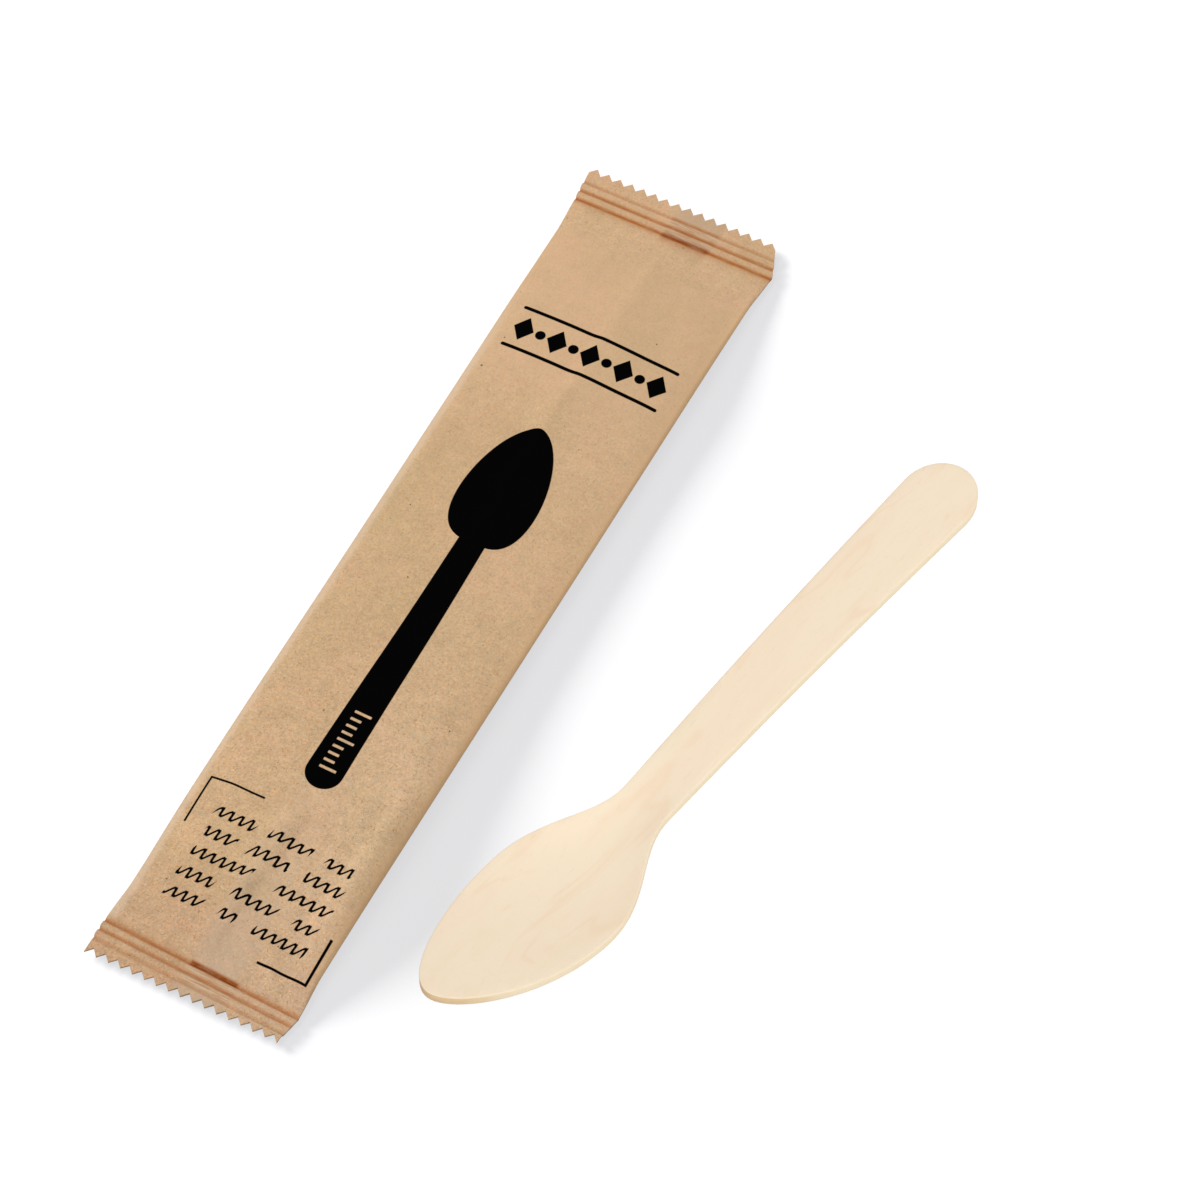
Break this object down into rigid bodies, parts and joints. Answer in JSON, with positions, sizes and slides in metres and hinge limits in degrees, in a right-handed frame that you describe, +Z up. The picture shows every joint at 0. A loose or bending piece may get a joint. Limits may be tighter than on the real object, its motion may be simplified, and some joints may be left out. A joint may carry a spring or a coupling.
{
  "type": "wooden cutlery pack",
  "caption": "Pressed wooden spoon lying beside a flat kraft paper sachet with crimped, saw-toothed end seals and a back fin seam.",
  "frame": {"origin": "on the table, under the middle of the box round the sachet and the spoon", "axes": "+Y along the sachet towards its wider end seal, +X across the table from the sachet to the spoon, +Z up"},
  "size_m": [0.0734, 0.1428, 0.0078],
  "materials": {
    "kraft_paper": "matt brown kraft paper with dark print",
    "birch_veneer": "plain pale veneer, sanded"
  },
  "bodies": {
    "root": {"paper_sachet": "kraft_paper", "wooden_spoon": "birch_veneer"}
  },
  "joints": []
}
